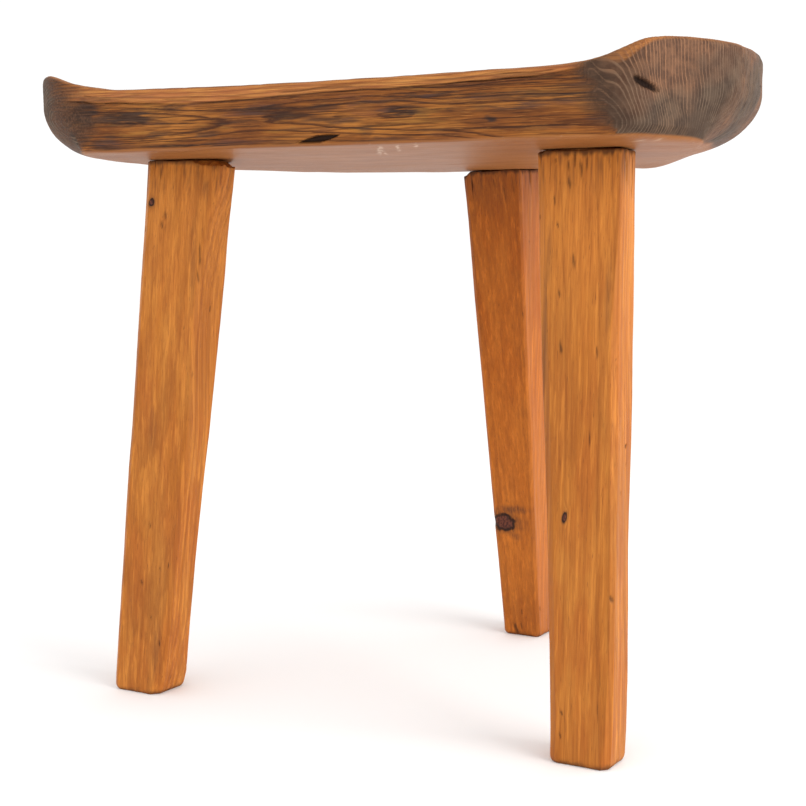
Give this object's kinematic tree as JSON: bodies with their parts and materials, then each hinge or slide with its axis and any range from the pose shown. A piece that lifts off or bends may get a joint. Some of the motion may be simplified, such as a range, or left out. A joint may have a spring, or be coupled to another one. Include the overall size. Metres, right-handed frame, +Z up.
{
  "type": "milking stool",
  "caption": "Hand-carved wooden milking stool: thick half-moon saddle seat with raised ends, on square tapered splayed legs with wedged round tenons.",
  "frame": {"origin": "middle of the whole stool's outside box in plan, on the floor under the feet", "axes": "+Z up, +X along the straight front edge of the seat, +Y from the straight front edge to the rounded back"},
  "size_m": [0.395, 0.2788, 0.3454],
  "materials": {
    "seat_wood": "old oiled pine, darkened and worn, satin",
    "leg_wood": "aged amber pine, shaved with an edge tool, satin",
    "wedge_wood": "split hardwood, worn flush"
  },
  "bodies": {
    "root": {"seat": "seat_wood", "leg_front_left": "leg_wood", "leg_front_right": "leg_wood", "leg_rear": "leg_wood", "wedge_front_left": "wedge_wood", "wedge_front_right": "wedge_wood", "wedge_rear": "wedge_wood"}
  },
  "joints": []
}
